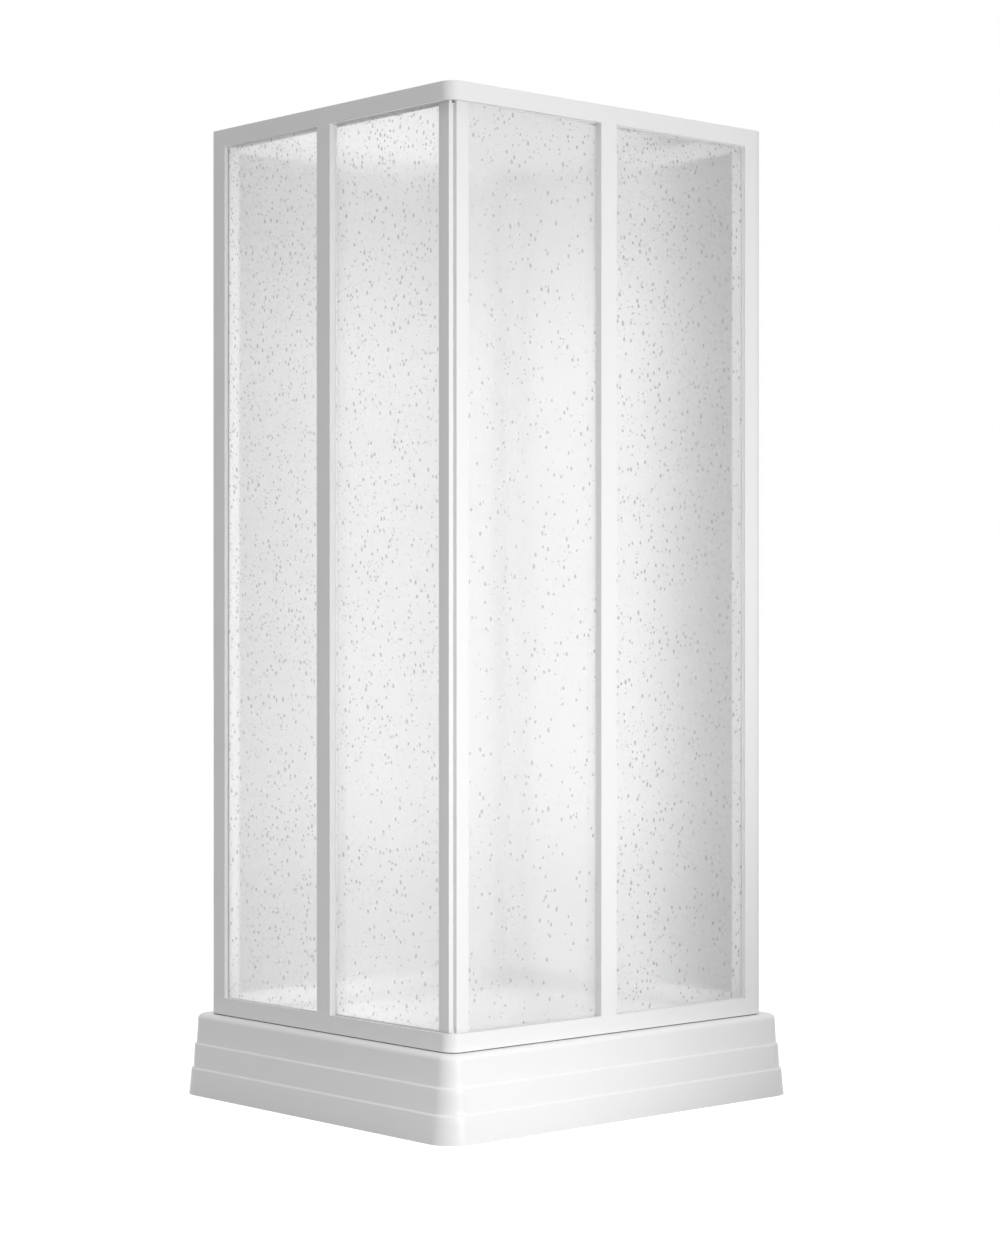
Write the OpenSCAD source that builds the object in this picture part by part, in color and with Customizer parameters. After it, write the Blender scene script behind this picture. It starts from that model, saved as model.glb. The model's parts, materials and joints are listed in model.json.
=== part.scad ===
// Corner-entry shower cabin: a skirted tray, a framed cabin of raindrop sheets standing on it,
// and two sliding doors that meet at the front corner.
// Lengths are in millimetres. +Z is up. The origin is on the floor, under the middle of the tray.
// The front corner is at the low end of X and of Y. On each side of the cabin, s runs along the side
// from the front corner (or from the back corner) and o runs inward from the frame's outer face.

/* [Cabin] */
// Outer length of the frame along X, which is the right-hand face
cabin_x = 869; // [840:1:1000]
// Outer length of the frame along Y, which is the left-hand face
cabin_y = 786; // [770:1:1000]
// Height of the frame, from the tray seal to the top
cabin_h = 1850; // [1500:10:2100]
// Plan radius of the frame's outer corners
corner_r = 30; // [16:1:34]
// Height of the top rails
top_rail_h = 36; // [34:1:50]
// Height of the bottom rails
bottom_rail_h = 35; // [35:1:50]
// Wall thickness of the extrusions
skin = 1.8; // [1.4:0.1:2.2]
// Width of a post, seen from the front
post_face = 60; // [54:1:70]
// Length of each arm of the front corner pieces
corner_arm = 70; // [66:1:90]

/* [Uprights between sheet and door] */
// Width of a mullion
mullion_w = 42; // [38:1:50]
// Width that shows of the fixed sheet on the right-hand side, between its mullion and post
fixed_right_w = 373; // [350:1:400]
// Width that shows of the fixed sheet on the left-hand side, between its mullion and post
fixed_left_w = 312; // [300:1:340]

/* [Sheets] */
// Thickness of the raindrop sheets
sheet_t = 3; // [2:0.5:4]
// Distance from the frame's outer face to the fixed sheets
sheet_recess = 9.5; // [8.5:0.5:11]
// How far a sheet's edge enters its groove
sheet_seat = 10; // [7:0.5:10.5]
// Thickness of a gasket's leg on each face of a sheet
gasket_t = 1.5; // [1:0.1:1.8]
// Thickness of the wall behind the fixed sheets
web_t = 1.2; // [1:0.1:2]
// How far the gaskets' lips show beside the frame
gasket_show = 1; // [0.5:0.1:2]
// Radius of the lips' inner corners
gasket_corner_r = 5; // [3:0.5:8]

/* [Doors] */
// Thickness of a door's frame
door_t = 11; // [10:0.5:13]
// Width of a door's stiles
stile_w = 31; // [28:1:34]
// Height of a door's top and bottom rails
door_rail_h = 14; // [13:0.5:15]
// Gap in front of a door
door_gap = 1; // [0.5:0.1:1.5]
// Gap between the two doors where they meet
meeting_gap = 0.3; // [0.3:0.1:0.6]
// How far the left door's edge stands back from the inner face of the right door's front
lead_setback = 9.2; // [8:0.2:10]
// What shows of a lead stile beside the mullion when its door is fully open
open_reveal = 12; // [8:1:20]
// Thickness of the rubber door stops
stop_t = 8; // [5:1:9]

/* [Rollers and guides] */
// Radius of a roller
wheel_r = 9; // [8:0.1:9.4]
// Width of a roller's tread
wheel_w = 5; // [4:0.5:7]
// Radius of a roller's axle
axle_r = 2.5; // [2:0.1:3]
// Radial clearance of a roller on its axle
axle_clearance = 0.05; // [0.02:0.01:0.1]
// Gap between parts that run past each other
running_gap = 0.3; // [0.3:0.1:0.5]
// Thickness of a roller bracket
bracket_t = 2.5; // [2:0.5:4]
// Distance of a roller from the end of its door
roller_inset = 26; // [24:1:40]
// Thickness of the guide rib on the bottom track
rib_t = 3; // [2:0.5:4]
// Thickness of the steel straps and angles that join the frame
strap_t = 2; // [1.5:0.1:2.5]
// Radius of the rivets' shanks
rivet_r = 1.6; // [1.2:0.1:2]

/* [Tray] */
// Height of the tray's rim above the floor
tray_h = 168; // [150:1:200]
// Height of the seal between the tray and the frame
seal_t = 2; // [1:0.5:4]
// Width of that seal
seal_w = 11.5; // [8:0.5:14]
// How far the rim stands out from the frame on the two door sides
overhang_front = 22; // [18:1:30]
// How far the rim stands out from the frame on the two rear sides
overhang_back = 30; // [18:1:36]
// Plan radius of the rim's corners
rim_corner_r = 38; // [32:1:50]
// Radius of the rim's edge
rim_edge_r = 12; // [6:1:14]
// Height of the skirt's top band, with the rim
top_band_h = 59; // [50:1:64]
// Height of the skirt's middle band
middle_band_h = 46; // [36:1:50]
// How far each step of the skirt stands out
step_out = 4.2; // [2:0.2:5]
// Height of each step's slope
step_drop = 5; // [4:0.5:8]
// How far the top band flares outward
flare_top = 2.5; // [0:0.5:6]
// How far the middle band flares outward
flare_middle = 2.5; // [0:0.5:4]
// How far the bottom band flares outward
flare_bottom = 5; // [0:0.5:6]
// Wall thickness of the tray
tray_wall = 4; // [3:0.5:5]
// Distance from the frame's outer face to the basin's edge
basin_inset = 66; // [64:1:80]
// Plan radius of the basin's corners
basin_corner_r = 50; // [40:1:70]
// Height of the basin's floor at its edge
basin_floor = 90; // [85:1:100]
// Thickness of the basin's floor
floor_t = 10; // [6:1:12]
// How far the floor falls to the drain
dish_depth = 6; // [3:0.5:6]
// Distance of the drain from the middle of the tray along X
drain_x = 120; // [60:5:140]
// Radius of the drain hole
drain_r = 43; // [40:1:45]
// Outer radius of the waste outlet pipe
outlet_r = 25; // [20:1:28]

/* [Supports] */
// Distance of each support bar from the middle of the tray
bar_y = 210; // [190:5:240]
// Length of a support bar
bar_length = 660; // [560:10:680]
// Height of a support bar
bar_h = 20; // [16:1:24]
// Width of a support bar
bar_w = 30; // [24:1:40]
// Distance of the feet from the end of a bar
foot_inset = 60; // [40:5:120]
// Radius of a foot's pad
foot_r = 25; // [18:1:28]
// Height of a foot's pad
pad_h = 8; // [6:0.5:10]
// Radius of a foot's stud
stud_r = 5; // [4:0.5:6]

/* [Hidden] */

$fn = 64;
white = "white";
rubber = "dimgray";
frosted = "lightgray";
steel = "silver";

// Heights of the frame
frame_z = tray_h + seal_t;
frame_top = frame_z + cabin_h;
top_rail_z = frame_top - top_rail_h;
sill_z = frame_z + bottom_rail_h;

// Places in a side's section, from the outer face inward
groove_front = sheet_recess - gasket_t;
groove_back = sheet_recess + sheet_t + gasket_t;
web_back = groove_back + web_t;
groove_depth = sheet_seat + 4;
door_front = web_back + door_gap;
door_back = door_front + door_t;
bracket_back = door_back + bracket_t;
track_gap = 0.8;
wheel_front = bracket_back + track_gap;
wheel_back = wheel_front + wheel_w;
axle_head_t = 1.2;
axle_end = wheel_back + running_gap + axle_head_t;
track_back = axle_end + track_gap;
rail_depth = track_back + skin;
back_rail_depth = web_back + skin;
rib_at = (door_front + door_back) / 2;

// A door's top and bottom rails lie just out of sight behind the frame's rails
door_hide = 1;

// Heights in the top track, above the top rail's lower edge
ledge_top = 8;
axle_z = ledge_top + wheel_r + running_gap;
door_head = door_rail_h + door_hide;

// Heights in the bottom rails, above the frame's lower edge
sill_groove = bottom_rail_h - groove_depth;
rib_top = 14;
door_foot = bottom_rail_h - door_head;
shoe_bottom = 6;
sill_lip = 22;

// The doors, along their own sides
right_lead = door_back + meeting_gap;
left_lead = door_front + lead_setback;
mullion_right_at = cabin_x - post_face - fixed_right_w - mullion_w / 2;
mullion_left_at = cabin_y - post_face - fixed_left_w - mullion_w / 2;
door_setback = 2;
right_end = mullion_right_at + mullion_w / 2 - door_setback;
left_end = mullion_left_at + mullion_w / 2 - door_setback;
right_travel = min(mullion_right_at - mullion_w / 2 - open_reveal - right_lead - stile_w,
    cabin_x - post_face - stop_t - 2 * running_gap - right_end);
left_travel = min(mullion_left_at - mullion_w / 2 - open_reveal - left_lead - stile_w,
    cabin_y - post_face - stop_t - 2 * running_gap - left_end);
door_low = frame_z + door_foot;
door_high = top_rail_z + door_head;
door_sheet_front = door_front + (door_t - sheet_t) / 2;
door_leg_t = 1.2;
door_groove_front = door_sheet_front - door_leg_t;
door_groove_back = door_sheet_front + sheet_t + door_leg_t;
door_groove_depth = sheet_seat + door_leg_t;
magnet_w = 4;

// The frame's place on the tray
front_x = -(cabin_x + overhang_back - overhang_front) / 2;
front_y = -(cabin_y + overhang_back - overhang_front) / 2;

// Corners of the tray's skirt, as how far it stands out from the rim and at what height
band_1 = [flare_top, tray_h - top_band_h];
ledge_1 = band_1 + [step_out, -step_drop];
band_2 = ledge_1 + [flare_middle, -middle_band_h];
ledge_2 = band_2 + [step_out, -step_drop];
band_3 = [ledge_2.x + flare_bottom, 0];

// Straps and angles that join the frame
strap_h = 14;
strap_reach = 22;
rivet_at = 12;
rivet_head_r = rivet_r + 1.8;
rivet_head_t = 1.4;
rivet_grip = strap_t + skin;
rivet_fit = 0.05;

// Placement on the four sides
module on_right() { translate([front_x, front_y, 0]) children(); }
module on_left() { translate([front_x, front_y, 0]) mirror([1, -1, 0]) children(); }
module on_back_left() { translate([front_x + cabin_x, front_y + cabin_y, 0]) rotate([0, 0, 180]) children(); }
module on_back_right() {
    translate([front_x + cabin_x, front_y + cabin_y, 0]) rotate([0, 0, 180]) mirror([1, -1, 0]) children();
}

// Extrudes a section drawn in o and z along a side
module along(from, to) {
    translate([from, 0, 0]) rotate([90, 0, 90]) linear_extrude(to - from) children();
}

// A rectangle given by its low and high corners
module span(low, high) { translate(low) square(high - low); }

// A block given by its low and high corners
module block(low, high) { translate(low) cube(high - low); }

// A rectangle with round corners, exact arcs
module round_rect(low, high, r) {
    span([low.x + r, low.y], [high.x - r, high.y]);
    span([low.x, low.y + r], [high.x, high.y - r]);
    for (x = [low.x + r, high.x - r], y = [low.y + r, high.y - r]) translate([x, y]) circle(r);
}

// Points along an arc
function arc(centre, r, from, to, steps) =
    [for (i = [0:steps]) let (a = from + (to - from) * i / steps) centre + r * [cos(a), sin(a)]];

// Cuts the corner at the origin of a plan down to a radius
module corner_cut(r) {
    difference() {
        translate([-1, -1]) square(r + 1);
        translate([r, r]) circle(r);
    }
}

// An L in plan between two offsets from the corner's outer faces, with concentric round corners
module elbow(from, to, arm) {
    outer_r = max(corner_r - from, 0);
    inner_r = max(corner_r - to, 0);
    difference() {
        union() {
            span([from, from], [arm, to]);
            span([from, from], [to, arm]);
            if (inner_r > 0) translate([to, to]) corner_cut(inner_r);
        }
        if (outer_r > 0) translate([from, from]) corner_cut(outer_r);
    }
}

// An L in plan with a square corner
module square_elbow(from, to, arm) {
    span([from, from], [arm, to]);
    span([from, from], [to, arm]);
}

// Sweeps a section, drawn as distance outward and height, round a rectangle with round corners
module swept_ring(low, high) {
    starts = [[high.x, low.y], high, [low.x, high.y], low];
    size = high - low;
    for (k = [0:3]) let (run = k % 2 == 0 ? size.y : size.x)
        translate(starts[k]) rotate([0, 0, 90 * k]) translate([0, run, 0]) {
            rotate([90, 0, 0]) linear_extrude(run) children();
            rotate_extrude(angle = 90) children();
        }
}

// Sections

module front_box(h) {
    difference() {
        span([0, 0], [groove_front, h]);
        span([skin, skin], [groove_front - skin, h - skin]);
    }
}

module top_rail_section() {
    front_box(top_rail_h);
    span([0, top_rail_h - skin], [rail_depth, top_rail_h]);
    span([groove_front - skin, groove_depth], [web_back, groove_depth + skin]);
    span([groove_back, 0], [web_back, top_rail_h]);
    span([track_back, 0], [rail_depth, top_rail_h]);
    span([wheel_front, ledge_top - skin], [rail_depth, ledge_top]);
}

module bottom_rail_section() {
    front_box(bottom_rail_h);
    span([0, 0], [rail_depth, skin]);
    span([groove_front - skin, sill_groove - skin], [web_back, sill_groove]);
    span([groove_back, 0], [web_back, bottom_rail_h]);
    span([track_back, 0], [rail_depth, sill_lip]);
    span([rib_at - rib_t / 2, 0], [rib_at + rib_t / 2, rib_top]);
}

module back_top_rail_section() {
    front_box(top_rail_h);
    span([0, top_rail_h - skin], [back_rail_depth, top_rail_h]);
    span([groove_front - skin, groove_depth], [back_rail_depth, groove_depth + skin]);
    span([groove_back, 0], [back_rail_depth, top_rail_h]);
}

module back_bottom_rail_section() {
    front_box(bottom_rail_h);
    span([0, 0], [back_rail_depth, skin]);
    span([groove_front - skin, sill_groove - skin], [back_rail_depth, sill_groove]);
    span([groove_back, 0], [back_rail_depth, bottom_rail_h]);
}

// A post's plan, with its round outer corner at the origin and its two grooved faces away from it
module post_plan() {
    pocket = groove_depth + skin;
    difference() {
        span([0, 0], [post_face, rail_depth]);
        corner_cut(corner_r);
        difference() {
            translate([skin, skin]) difference() {
                square([post_face - 2 * skin, rail_depth - 2 * skin]);
                corner_cut(corner_r - skin);
            }
            span([post_face - pocket, groove_front - skin], [post_face, groove_back + skin]);
            span([groove_front - skin, rail_depth - pocket], [groove_back + skin, rail_depth]);
        }
        span([post_face - groove_depth, groove_front], [post_face + 1, groove_back]);
        span([groove_front, rail_depth - groove_depth], [groove_back, rail_depth + 1]);
    }
}

// Places a thing made in the post's plan at each post; the wide face looks along the side named
module at_left_post() { translate([front_x, front_y + cabin_y, 0]) rotate([0, 0, -90]) children(); }
module at_right_post() { translate([front_x + cabin_x, front_y, 0]) mirror([1, 0, 0]) children(); }
module at_back_post() { translate([front_x + cabin_x, front_y + cabin_y, 0]) rotate([0, 0, 180]) children(); }

// Straps and angles, and the rivets that hold them

strap_top_z = top_rail_z + 22;
strap_bottom_z = frame_z + 11;

module at_straps() {
    for (z = [strap_top_z, strap_bottom_z]) {
        for (s = [corner_arm, cabin_x - post_face]) on_right() translate([s, rail_depth, z]) children();
        for (s = [corner_arm, cabin_y - post_face]) on_left() translate([s, rail_depth, z]) children();
    }
}

module at_angles() {
    for (z = [strap_top_z, strap_bottom_z]) {
        on_back_left() translate([post_face, back_rail_depth, z]) children();
        on_back_left() translate([cabin_x - rail_depth, back_rail_depth, z]) mirror([1, 0, 0]) children();
        on_back_right() translate([rail_depth, back_rail_depth, z]) children();
        on_back_right() translate([cabin_y - rail_depth, back_rail_depth, z]) mirror([1, 0, 0]) children();
    }
}

module strap_places() {
    for (s = [-rivet_at, rivet_at]) translate([s, strap_t, 0]) rotate([-90, 0, 0]) children();
}

module angle_places() {
    translate([rivet_at, strap_t, 0]) rotate([-90, 0, 0]) children();
    translate([strap_t, rivet_at, 0]) rotate([0, 90, 0]) children();
}

module at_rivets() {
    at_straps() strap_places() children();
    at_angles() angle_places() children();
}

module rivet() {
    translate([0, 0, -rivet_grip]) cylinder(h = rivet_grip + rivet_head_t / 2, r = rivet_r);
    cylinder(h = rivet_head_t, r = rivet_head_r);
}

module rivet_bore() { translate([0, 0, -rivet_grip]) cylinder(h = rivet_grip + 1, r = rivet_r + rivet_fit); }

module strap() {
    difference() {
        block([-strap_reach, 0, -strap_h / 2], [strap_reach, strap_t, strap_h / 2]);
        strap_places() rivet_bore();
    }
}

module angle_bracket() {
    difference() {
        union() {
            block([0, 0, -strap_h / 2], [strap_reach, strap_t, strap_h / 2]);
            block([0, 0, -strap_h / 2], [strap_t, strap_reach - strap_t, strap_h / 2]);
        }
        angle_places() rivet_bore();
    }
}

// Tray

rim_low = [front_x - overhang_front, front_y - overhang_front];
rim_high = [front_x + cabin_x + overhang_back, front_y + cabin_y + overhang_back];
basin_low = [front_x + basin_inset, front_y + basin_inset];
basin_high = [front_x + cabin_x - basin_inset, front_y + cabin_y - basin_inset];
floor_under = basin_floor - floor_t;
dish_r = 200;
drain_seat_r = drain_r + 17;
drain_z = basin_floor - dish_depth;
basin_edge_r = 6;
basin_draft = 12;
basin_fillet = 15;

step_points = 6;

// A smooth step from one point of the skirt to the next
function step(from, to) =
    [for (i = [0:step_points]) let (t = i / step_points)
        [from.x + (to.x - from.x) * (1 - cos(180 * t)) / 2, from.y + (to.y - from.y) * t]];

// The skirt's outline below the rim, moved inward by a wall
function skirt(inward) =
    let (corners = concat(step(band_1, ledge_1), step(band_2, ledge_2), [band_3]))
    [for (p = corners) [rim_corner_r + p.x - inward, p.y]];

function reversed(points) = [for (i = [len(points) - 1:-1:0]) points[i]];

module skirt_section() {
    edge = [rim_corner_r - rim_edge_r, tray_h - rim_edge_r];
    polygon(concat(
        [[0, tray_h]], arc(edge, rim_edge_r, 90, 0, 8), skirt(0), reversed(skirt(tray_wall)),
        arc(edge, rim_edge_r - tray_wall, 0, 90, 8), [[0, tray_h - tray_wall]]));
}

module basin_section() {
    r = basin_corner_r;
    wall_foot = r - basin_edge_r - basin_draft;
    polygon(concat(
        [[r, tray_h - tray_wall]],
        arc([r, tray_h - basin_edge_r], basin_edge_r, 90, 180, 5),
        arc([wall_foot - basin_fillet, basin_floor + basin_fillet], basin_fillet, 0, -90, 6),
        [[0, basin_floor], [0, floor_under], [wall_foot - basin_fillet / 2, floor_under]],
        [[wall_foot + tray_wall, basin_floor + basin_fillet / 2],
            [r - tray_wall / 2, tray_h - 2 * tray_wall]]));
}

module tray() {
    outer = [rim_corner_r, rim_corner_r];
    inner = [basin_corner_r, basin_corner_r];
    color(white) difference() {
        union() {
            swept_ring(rim_low + outer, rim_high - outer) skirt_section();
            translate([0, 0, tray_h - tray_wall]) linear_extrude(tray_wall) difference() {
                span(rim_low + outer, rim_high - outer);
                round_rect(basin_low, basin_high, basin_corner_r);
            }
            swept_ring(basin_low + inner, basin_high - inner) basin_section();
            translate([0, 0, floor_under]) linear_extrude(floor_t)
                span(basin_low + inner, basin_high - inner);
        }
        translate([drain_x, 0, drain_z]) cylinder(h = dish_depth + 1, r = drain_seat_r);
        translate([drain_x, 0, drain_z]) cylinder(h = dish_depth, r1 = drain_seat_r, r2 = dish_r);
        translate([drain_x, 0, floor_under - 1]) cylinder(h = floor_t + 2, r = drain_r);
    }
}

module tray_seal() {
    outer = 2.5;
    inner = outer + seal_w;
    color(rubber) translate([front_x, front_y, tray_h]) linear_extrude(seal_t) difference() {
        round_rect([outer, outer], [cabin_x - outer, cabin_y - outer], corner_r - outer);
        round_rect([inner, inner], [cabin_x - inner, cabin_y - inner], seal_t);
    }
}

// Support bars, feet and waste

bar_wall = 2;
nut_h = 8;
nut_r = 2 * stud_r;
thread_fit = 0.1;
stud_fit = 0.3;

module at_feet() {
    for (x = [-1, 1], y = [-1, 1]) translate([x * (bar_length / 2 - foot_inset), y * bar_y, 0]) children();
}

module support_bars() {
    half = bar_w / 2;
    color(steel) translate([0, 0, floor_under - bar_h]) difference() {
        for (y = [-bar_y, bar_y]) translate([0, y, 0]) along(-bar_length / 2, bar_length / 2) difference() {
            span([-half, 0], [half, bar_h]);
            span([bar_wall - half, bar_wall], [half - bar_wall, bar_h - bar_wall]);
        }
        at_feet() translate([0, 0, -1]) cylinder(h = bar_wall + 2, r = stud_r + stud_fit);
    }
}

module tray_feet() {
    stud_top = floor_under - 2 * bar_wall;
    chamfer = foot_r / 16;
    color(rubber) at_feet() rotate_extrude() polygon([
        [0, 0], [foot_r - chamfer, 0], [foot_r, chamfer], [foot_r, pad_h / 2], [foot_r / 2, pad_h],
        [stud_r, pad_h], [stud_r, stud_top], [0, stud_top]]);
}

module foot_nuts() {
    color(steel) at_feet() translate([0, 0, floor_under - bar_h - nut_h]) difference() {
        cylinder(h = nut_h, r = nut_r, $fn = 6);
        translate([0, 0, -1]) cylinder(h = nut_h + 2, r = stud_r + thread_fit);
    }
}

washer_t = 3;
waste_wall = 3;
flange_t = 2;
flange_lip_t = 0.8;
cup_depth = 47;
outlet_rise = 26;
outlet_low = 3;
sleeve_length = 18;
bell_gap = 5;
waste_top = floor_under - washer_t;
waste_bottom = waste_top - cup_depth;
outlet_high = waste_bottom + outlet_rise;
sleeve_r = drain_r - 3;
sleeve_low = waste_top - sleeve_length;
cup_bore = sleeve_r + 1;
flange_r = drain_seat_r - 6;
bell_low = waste_bottom + outlet_rise / 2;
cover_rise = 3.5;
cover_edge = 2;
slots = 12;
slot_r = 2.4;

module waste_body() {
    cup_r = cup_bore + waste_wall;
    outlet_bore = outlet_r - 2.5;
    flange_low = waste_top - waste_wall - 1;
    color(white) translate([drain_x, 0, 0]) rotate_extrude() {
        polygon([[cup_bore, waste_bottom], [cup_r, waste_bottom], [cup_r, flange_low],
            [flange_r, flange_low], [flange_r, waste_top], [cup_bore, waste_top]]);
        span([outlet_bore, waste_bottom - waste_wall - 1], [cup_r, waste_bottom]);
        span([outlet_bore, outlet_low], [outlet_r, outlet_high]);
    }
}

module waste_washer() {
    color(rubber) translate([drain_x, 0, waste_top]) linear_extrude(washer_t) difference() {
        circle(flange_r);
        circle(drain_r + 1);
    }
}

module waste_flange() {
    bore = sleeve_r - waste_wall;
    color(steel) translate([drain_x, 0, 0]) rotate_extrude() {
        span([bore, sleeve_low], [sleeve_r, drain_z + flange_t]);
        polygon([[bore, drain_z], [flange_r, drain_z], [flange_r, drain_z + flange_lip_t],
            [flange_r - flange_t, drain_z + flange_t], [bore, drain_z + flange_t]]);
    }
}

module waste_cover() {
    cover_r = flange_r - bell_gap;
    cover_z = drain_z + flange_t;
    bell_r = outlet_r + bell_gap;
    slot_at = (bell_r + sleeve_r - waste_wall) / 2;
    color(steel) translate([drain_x, 0, 0]) difference() {
        rotate_extrude() {
            polygon([[0, cover_z], [cover_r, cover_z], [cover_r - cover_edge, cover_z + cover_edge],
                [0, cover_z + cover_rise]]);
            span([bell_r - cover_edge, bell_low], [bell_r, cover_z + 1]);
        }
        for (k = [0:slots - 1]) rotate([0, 0, 360 * k / slots]) translate([slot_at, 0, cover_z - 1])
            cylinder(h = cover_rise + 2, r = slot_r);
    }
}

// Posts, rails and corners

cap_t = 2.5;
plug_h = 12;
plug_fit = 0.3;

module post() {
    color(white) translate([0, 0, frame_z]) linear_extrude(cabin_h - cap_t) post_plan();
}

module post_left() {
    difference() {
        at_left_post() post();
        at_rivets() rivet_bore();
    }
}

module post_right() {
    difference() {
        at_right_post() post();
        at_rivets() rivet_bore();
    }
}

module post_back() {
    difference() {
        at_back_post() post();
        at_rivets() rivet_bore();
    }
}

module post_cap() {
    plug_low = groove_back + skin + 1;
    translate([0, 0, frame_top - cap_t]) linear_extrude(cap_t) difference() {
        span([0, 0], [post_face, rail_depth]);
        corner_cut(corner_r);
    }
    block([plug_low, plug_low, frame_top - cap_t - plug_h],
        [post_face - groove_depth - 2 * skin, rail_depth - skin - plug_fit, frame_top - cap_t + 1]);
}

module post_caps() {
    color(white) {
        at_left_post() post_cap();
        at_right_post() post_cap();
        at_back_post() post_cap();
    }
}

module front_rail(z, end) {
    color(white) translate([0, 0, z]) along(corner_arm, end) children();
}

module top_rail_left() {
    difference() {
        on_left() front_rail(top_rail_z, cabin_y - post_face) top_rail_section();
        at_rivets() rivet_bore();
    }
}

module top_rail_right() {
    difference() {
        on_right() front_rail(top_rail_z, cabin_x - post_face) top_rail_section();
        at_rivets() rivet_bore();
    }
}

module bottom_rail_left() {
    difference() {
        on_left() front_rail(frame_z, cabin_y - post_face) bottom_rail_section();
        at_rivets() rivet_bore();
    }
}

module bottom_rail_right() {
    difference() {
        on_right() front_rail(frame_z, cabin_x - post_face) bottom_rail_section();
        at_rivets() rivet_bore();
    }
}

module back_top_rail_left() {
    color(white) difference() {
        on_back_left() translate([0, 0, top_rail_z]) along(post_face, cabin_x - rail_depth)
            back_top_rail_section();
        at_rivets() rivet_bore();
    }
}

module back_top_rail_right() {
    color(white) difference() {
        on_back_right() translate([0, 0, top_rail_z]) along(rail_depth, cabin_y - rail_depth)
            back_top_rail_section();
        at_rivets() rivet_bore();
    }
}

module back_bottom_rail_left() {
    color(white) difference() {
        on_back_left() translate([0, 0, frame_z]) along(post_face, cabin_x - rail_depth)
            back_bottom_rail_section();
        at_rivets() rivet_bore();
    }
}

module back_bottom_rail_right() {
    color(white) difference() {
        on_back_right() translate([0, 0, frame_z]) along(rail_depth, cabin_y - rail_depth)
            back_bottom_rail_section();
        at_rivets() rivet_bore();
    }
}

module slab(from, to) { translate([0, 0, from]) linear_extrude(to - from) children(); }

module front_box_corner(h) {
    slab(0, h) elbow(0, skin, corner_arm);
    slab(0, h) elbow(groove_front - skin, groove_front, corner_arm);
    slab(0, skin) elbow(0, groove_front, corner_arm);
    slab(h - skin, h) elbow(0, groove_front, corner_arm);
}

module top_corner() {
    color(white) difference() {
        translate([front_x, front_y, top_rail_z]) {
            front_box_corner(top_rail_h);
            slab(top_rail_h - skin, top_rail_h) elbow(0, rail_depth, corner_arm);
            slab(0, top_rail_h) square_elbow(groove_back, web_back, corner_arm);
            slab(0, top_rail_h) square_elbow(track_back, rail_depth, corner_arm);
            slab(ledge_top - skin, ledge_top) square_elbow(wheel_front, rail_depth, corner_arm);
        }
        at_rivets() rivet_bore();
    }
}

module bottom_corner() {
    color(white) difference() {
        translate([front_x, front_y, frame_z]) {
            front_box_corner(bottom_rail_h);
            slab(0, skin) elbow(0, rail_depth, corner_arm);
            slab(0, bottom_rail_h) square_elbow(groove_back, web_back, corner_arm);
            slab(0, sill_lip) square_elbow(track_back, rail_depth, corner_arm);
            slab(0, rib_top) square_elbow(rib_at - rib_t / 2, rib_at + rib_t / 2, corner_arm);
        }
        at_rivets() rivet_bore();
    }
}

module rail_brackets() {
    color(steel) {
        at_straps() strap();
        at_angles() angle_bracket();
    }
}

module frame_rivets() { color(steel) at_rivets() rivet(); }

// Mullions, with a tongue at each end that enters the rail's groove

tongue_fit = 0.2;
tongue_h = groove_depth - 2;
seal_half = 4;

module mullion(at) {
    half = mullion_w / 2;
    slot = half - groove_depth;
    color(white) translate([at, 0, 0]) {
        translate([0, 0, sill_z]) linear_extrude(top_rail_z - sill_z) difference() {
            span([-half, 0], [half, web_back]);
            span([skin - half, skin], [slot - skin, web_back - skin]);
            span([slot, groove_front], [half + 1, groove_back]);
            span([slot, skin], [half - skin, groove_front - skin]);
        }
        for (z = [sill_z - tongue_h, top_rail_z])
            block([skin / 2 - half, groove_front + tongue_fit, z],
                [slot, groove_back - tongue_fit, z + tongue_h]);
    }
}

module mullion_left() { on_left() mullion(mullion_left_at); }
module mullion_right() { on_right() mullion(mullion_right_at); }

module mullion_seal(at) {
    block([at - seal_half, web_back, sill_z + seal_half / 2],
        [at + seal_half, door_front - running_gap, top_rail_z - seal_half / 2]);
}

module mullion_seals() {
    color(rubber) {
        on_left() mullion_seal(mullion_left_at);
        on_right() mullion_seal(mullion_right_at);
    }
}

// Fixed sheets

sheet_low_z = sill_z - sheet_seat;
sheet_high_z = top_rail_z + sheet_seat;

module sheet(from, to) {
    block([from - sheet_seat, sheet_recess, sheet_low_z],
        [to + sheet_seat, sheet_recess + sheet_t, sheet_high_z]);
}

// A U-shaped gasket round a sheet that is given by its low and high corners
module edge_gasket(low, high, leg, lap) {
    window_low = [low.x + lap, low.z + lap];
    window_high = [high.x - lap, high.z - lap];
    difference() {
        block(low - [leg, leg, leg], high + [leg, leg, leg]);
        block(low, high);
        translate([0, high.y + 2 * leg, 0]) rotate([90, 0, 0]) linear_extrude(high.y - low.y + 4 * leg)
            round_rect(window_low, window_high, gasket_corner_r);
    }
}

module sheet_gasket(from, to) {
    edge_gasket([from - sheet_seat, sheet_recess, sheet_low_z],
        [to + sheet_seat, sheet_recess + sheet_t, sheet_high_z], gasket_t, sheet_seat + gasket_show);
}

module fixed_panel_left() {
    color(frosted) on_left() sheet(mullion_left_at + mullion_w / 2, cabin_y - post_face);
}

module fixed_panel_right() {
    color(frosted) on_right() sheet(mullion_right_at + mullion_w / 2, cabin_x - post_face);
}

module back_panel_left() { color(frosted) on_back_left() sheet(post_face, cabin_x - rail_depth); }
module back_panel_right() { color(frosted) on_back_right() sheet(rail_depth, cabin_y - rail_depth); }

module fixed_gaskets() {
    color(frosted) {
        on_left() sheet_gasket(mullion_left_at + mullion_w / 2, cabin_y - post_face);
        on_right() sheet_gasket(mullion_right_at + mullion_w / 2, cabin_x - post_face);
    }
}

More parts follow.
